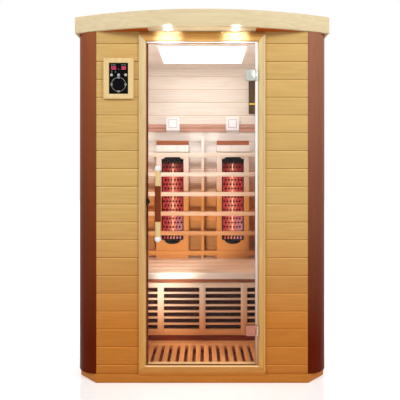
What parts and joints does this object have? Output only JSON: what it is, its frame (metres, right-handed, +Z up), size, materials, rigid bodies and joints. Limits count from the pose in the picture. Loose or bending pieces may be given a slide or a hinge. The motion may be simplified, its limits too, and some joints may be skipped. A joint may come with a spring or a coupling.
{
  "type": "infrared sauna cabin",
  "caption": "Boarded timber infrared sauna cabin with a bowed roof, hinged glass door, bench, slatted backrest, upright heaters and a control unit.",
  "frame": {"origin": "middle of the footprint of the overall box, on the floor", "axes": "+X to the right of someone facing the door, +Y from the door to the back wall, +Z up"},
  "size_m": [1.334, 1.12, 1.9],
  "materials": {
    "board_wood": "lacquered pale softwood boards",
    "pale_wood": "smooth pale hardwood",
    "trim_wood": "smooth pale wood",
    "post_wood": "satin red-brown stained wood",
    "room_wood": "pale wood, warm from the light inside",
    "bench_wood": "smooth pale wood",
    "dark_wood": "dark stained wood",
    "chrome": "polished",
    "tray_metal": "bright reflector, red in the light of the tube",
    "guard_metal": "dark paint",
    "door_glass": "clear",
    "tube_glass": "glowing tube",
    "white_plastic": "white",
    "lamp_white": "lit diffuser",
    "black_gloss": "black panel",
    "black_rubber": "matt",
    "key_plastic": "light grey",
    "heating_panel": "matt black",
    "unit_grey": "grey"
  },
  "bodies": {
    "cabin": {"base_panel": "board_wood", "back_wall": "board_wood", "front_panel_left": "board_wood", "front_panel_right": "board_wood", "side_wall_left": "board_wood", "side_wall_right": "board_wood", "fascia_front": "pale_wood", "fascia_left": "pale_wood", "fascia_right": "pale_wood", "control_frame": "pale_wood", "canopy_soffit": "trim_wood", "ceiling_lamp_frame": "trim_wood", "door_jamb_left": "trim_wood", "door_jamb_right": "trim_wood", "door_head": "trim_wood", "door_sill": "trim_wood", "corner_post_left": "post_wood", "corner_post_right": "post_wood", "roof_panel": "room_wood", "backrest_batten": "room_wood", "heater_box_left": "room_wood", "heater_box_right": "room_wood", "backrest_slat_1": "room_wood", "backrest_slat_2": "room_wood", "backrest_slat_3": "room_wood", "backrest_slat_4": "room_wood", "backrest_slat_5": "room_wood", "backrest_slat_6": "room_wood", "bench_seat": "bench_wood", "bench_front": "bench_wood", "floor_grid": "bench_wood", "headrest_left": "dark_wood", "headrest_right": "dark_wood", "wall_board": "dark_wood", "downlight_left": "chrome", "downlight_right": "chrome", "hinge_bracket_upper": "chrome", "hinge_bracket_lower": "chrome", "heater_tray_left": "tray_metal", "heater_tray_right": "tray_metal", "heater_guard_left": "guard_metal", "heater_guard_right": "guard_metal", "heater_tube_left": "tube_glass", "heater_tube_right": "tube_glass", "wall_lamp_left": "white_plastic", "wall_lamp_right": "white_plastic", "ceiling_lamp_diffuser": "lamp_white", "control_panel": "black_gloss", "door_catch": "black_rubber", "bench_heater": "heating_panel", "power_unit": "unit_grey"},
    "door": {"door_glass": "door_glass", "door_seal": "white_plastic", "door_handle": "pale_wood", "handle_grip": "dark_wood", "hinge_clamp_upper": "chrome", "hinge_clamp_lower": "chrome"},
    "key_left": {"key_left": "key_plastic"},
    "key_middle": {"key_middle": "key_plastic"},
    "key_right": {"key_right": "key_plastic"}
  },
  "joints": [
    {"name": "door_swing", "type": "hinge", "parent": "cabin", "child": "door", "pos_m": [0.284, -0.484, 0.93], "axis": [0, 0, 1], "range_deg": [0, 110]},
    {"name": "key_left_press", "type": "slide", "parent": "cabin", "child": "key_left", "axis": [0, 1, 0], "range_m": [0, 0.0012], "stiffness_N_per_m": 800},
    {"name": "key_middle_press", "type": "slide", "parent": "cabin", "child": "key_middle", "axis": [0, 1, 0], "range_m": [0, 0.0012], "stiffness_N_per_m": 800},
    {"name": "key_right_press", "type": "slide", "parent": "cabin", "child": "key_right", "axis": [0, 1, 0], "range_m": [0, 0.0012], "stiffness_N_per_m": 800}
  ]
}
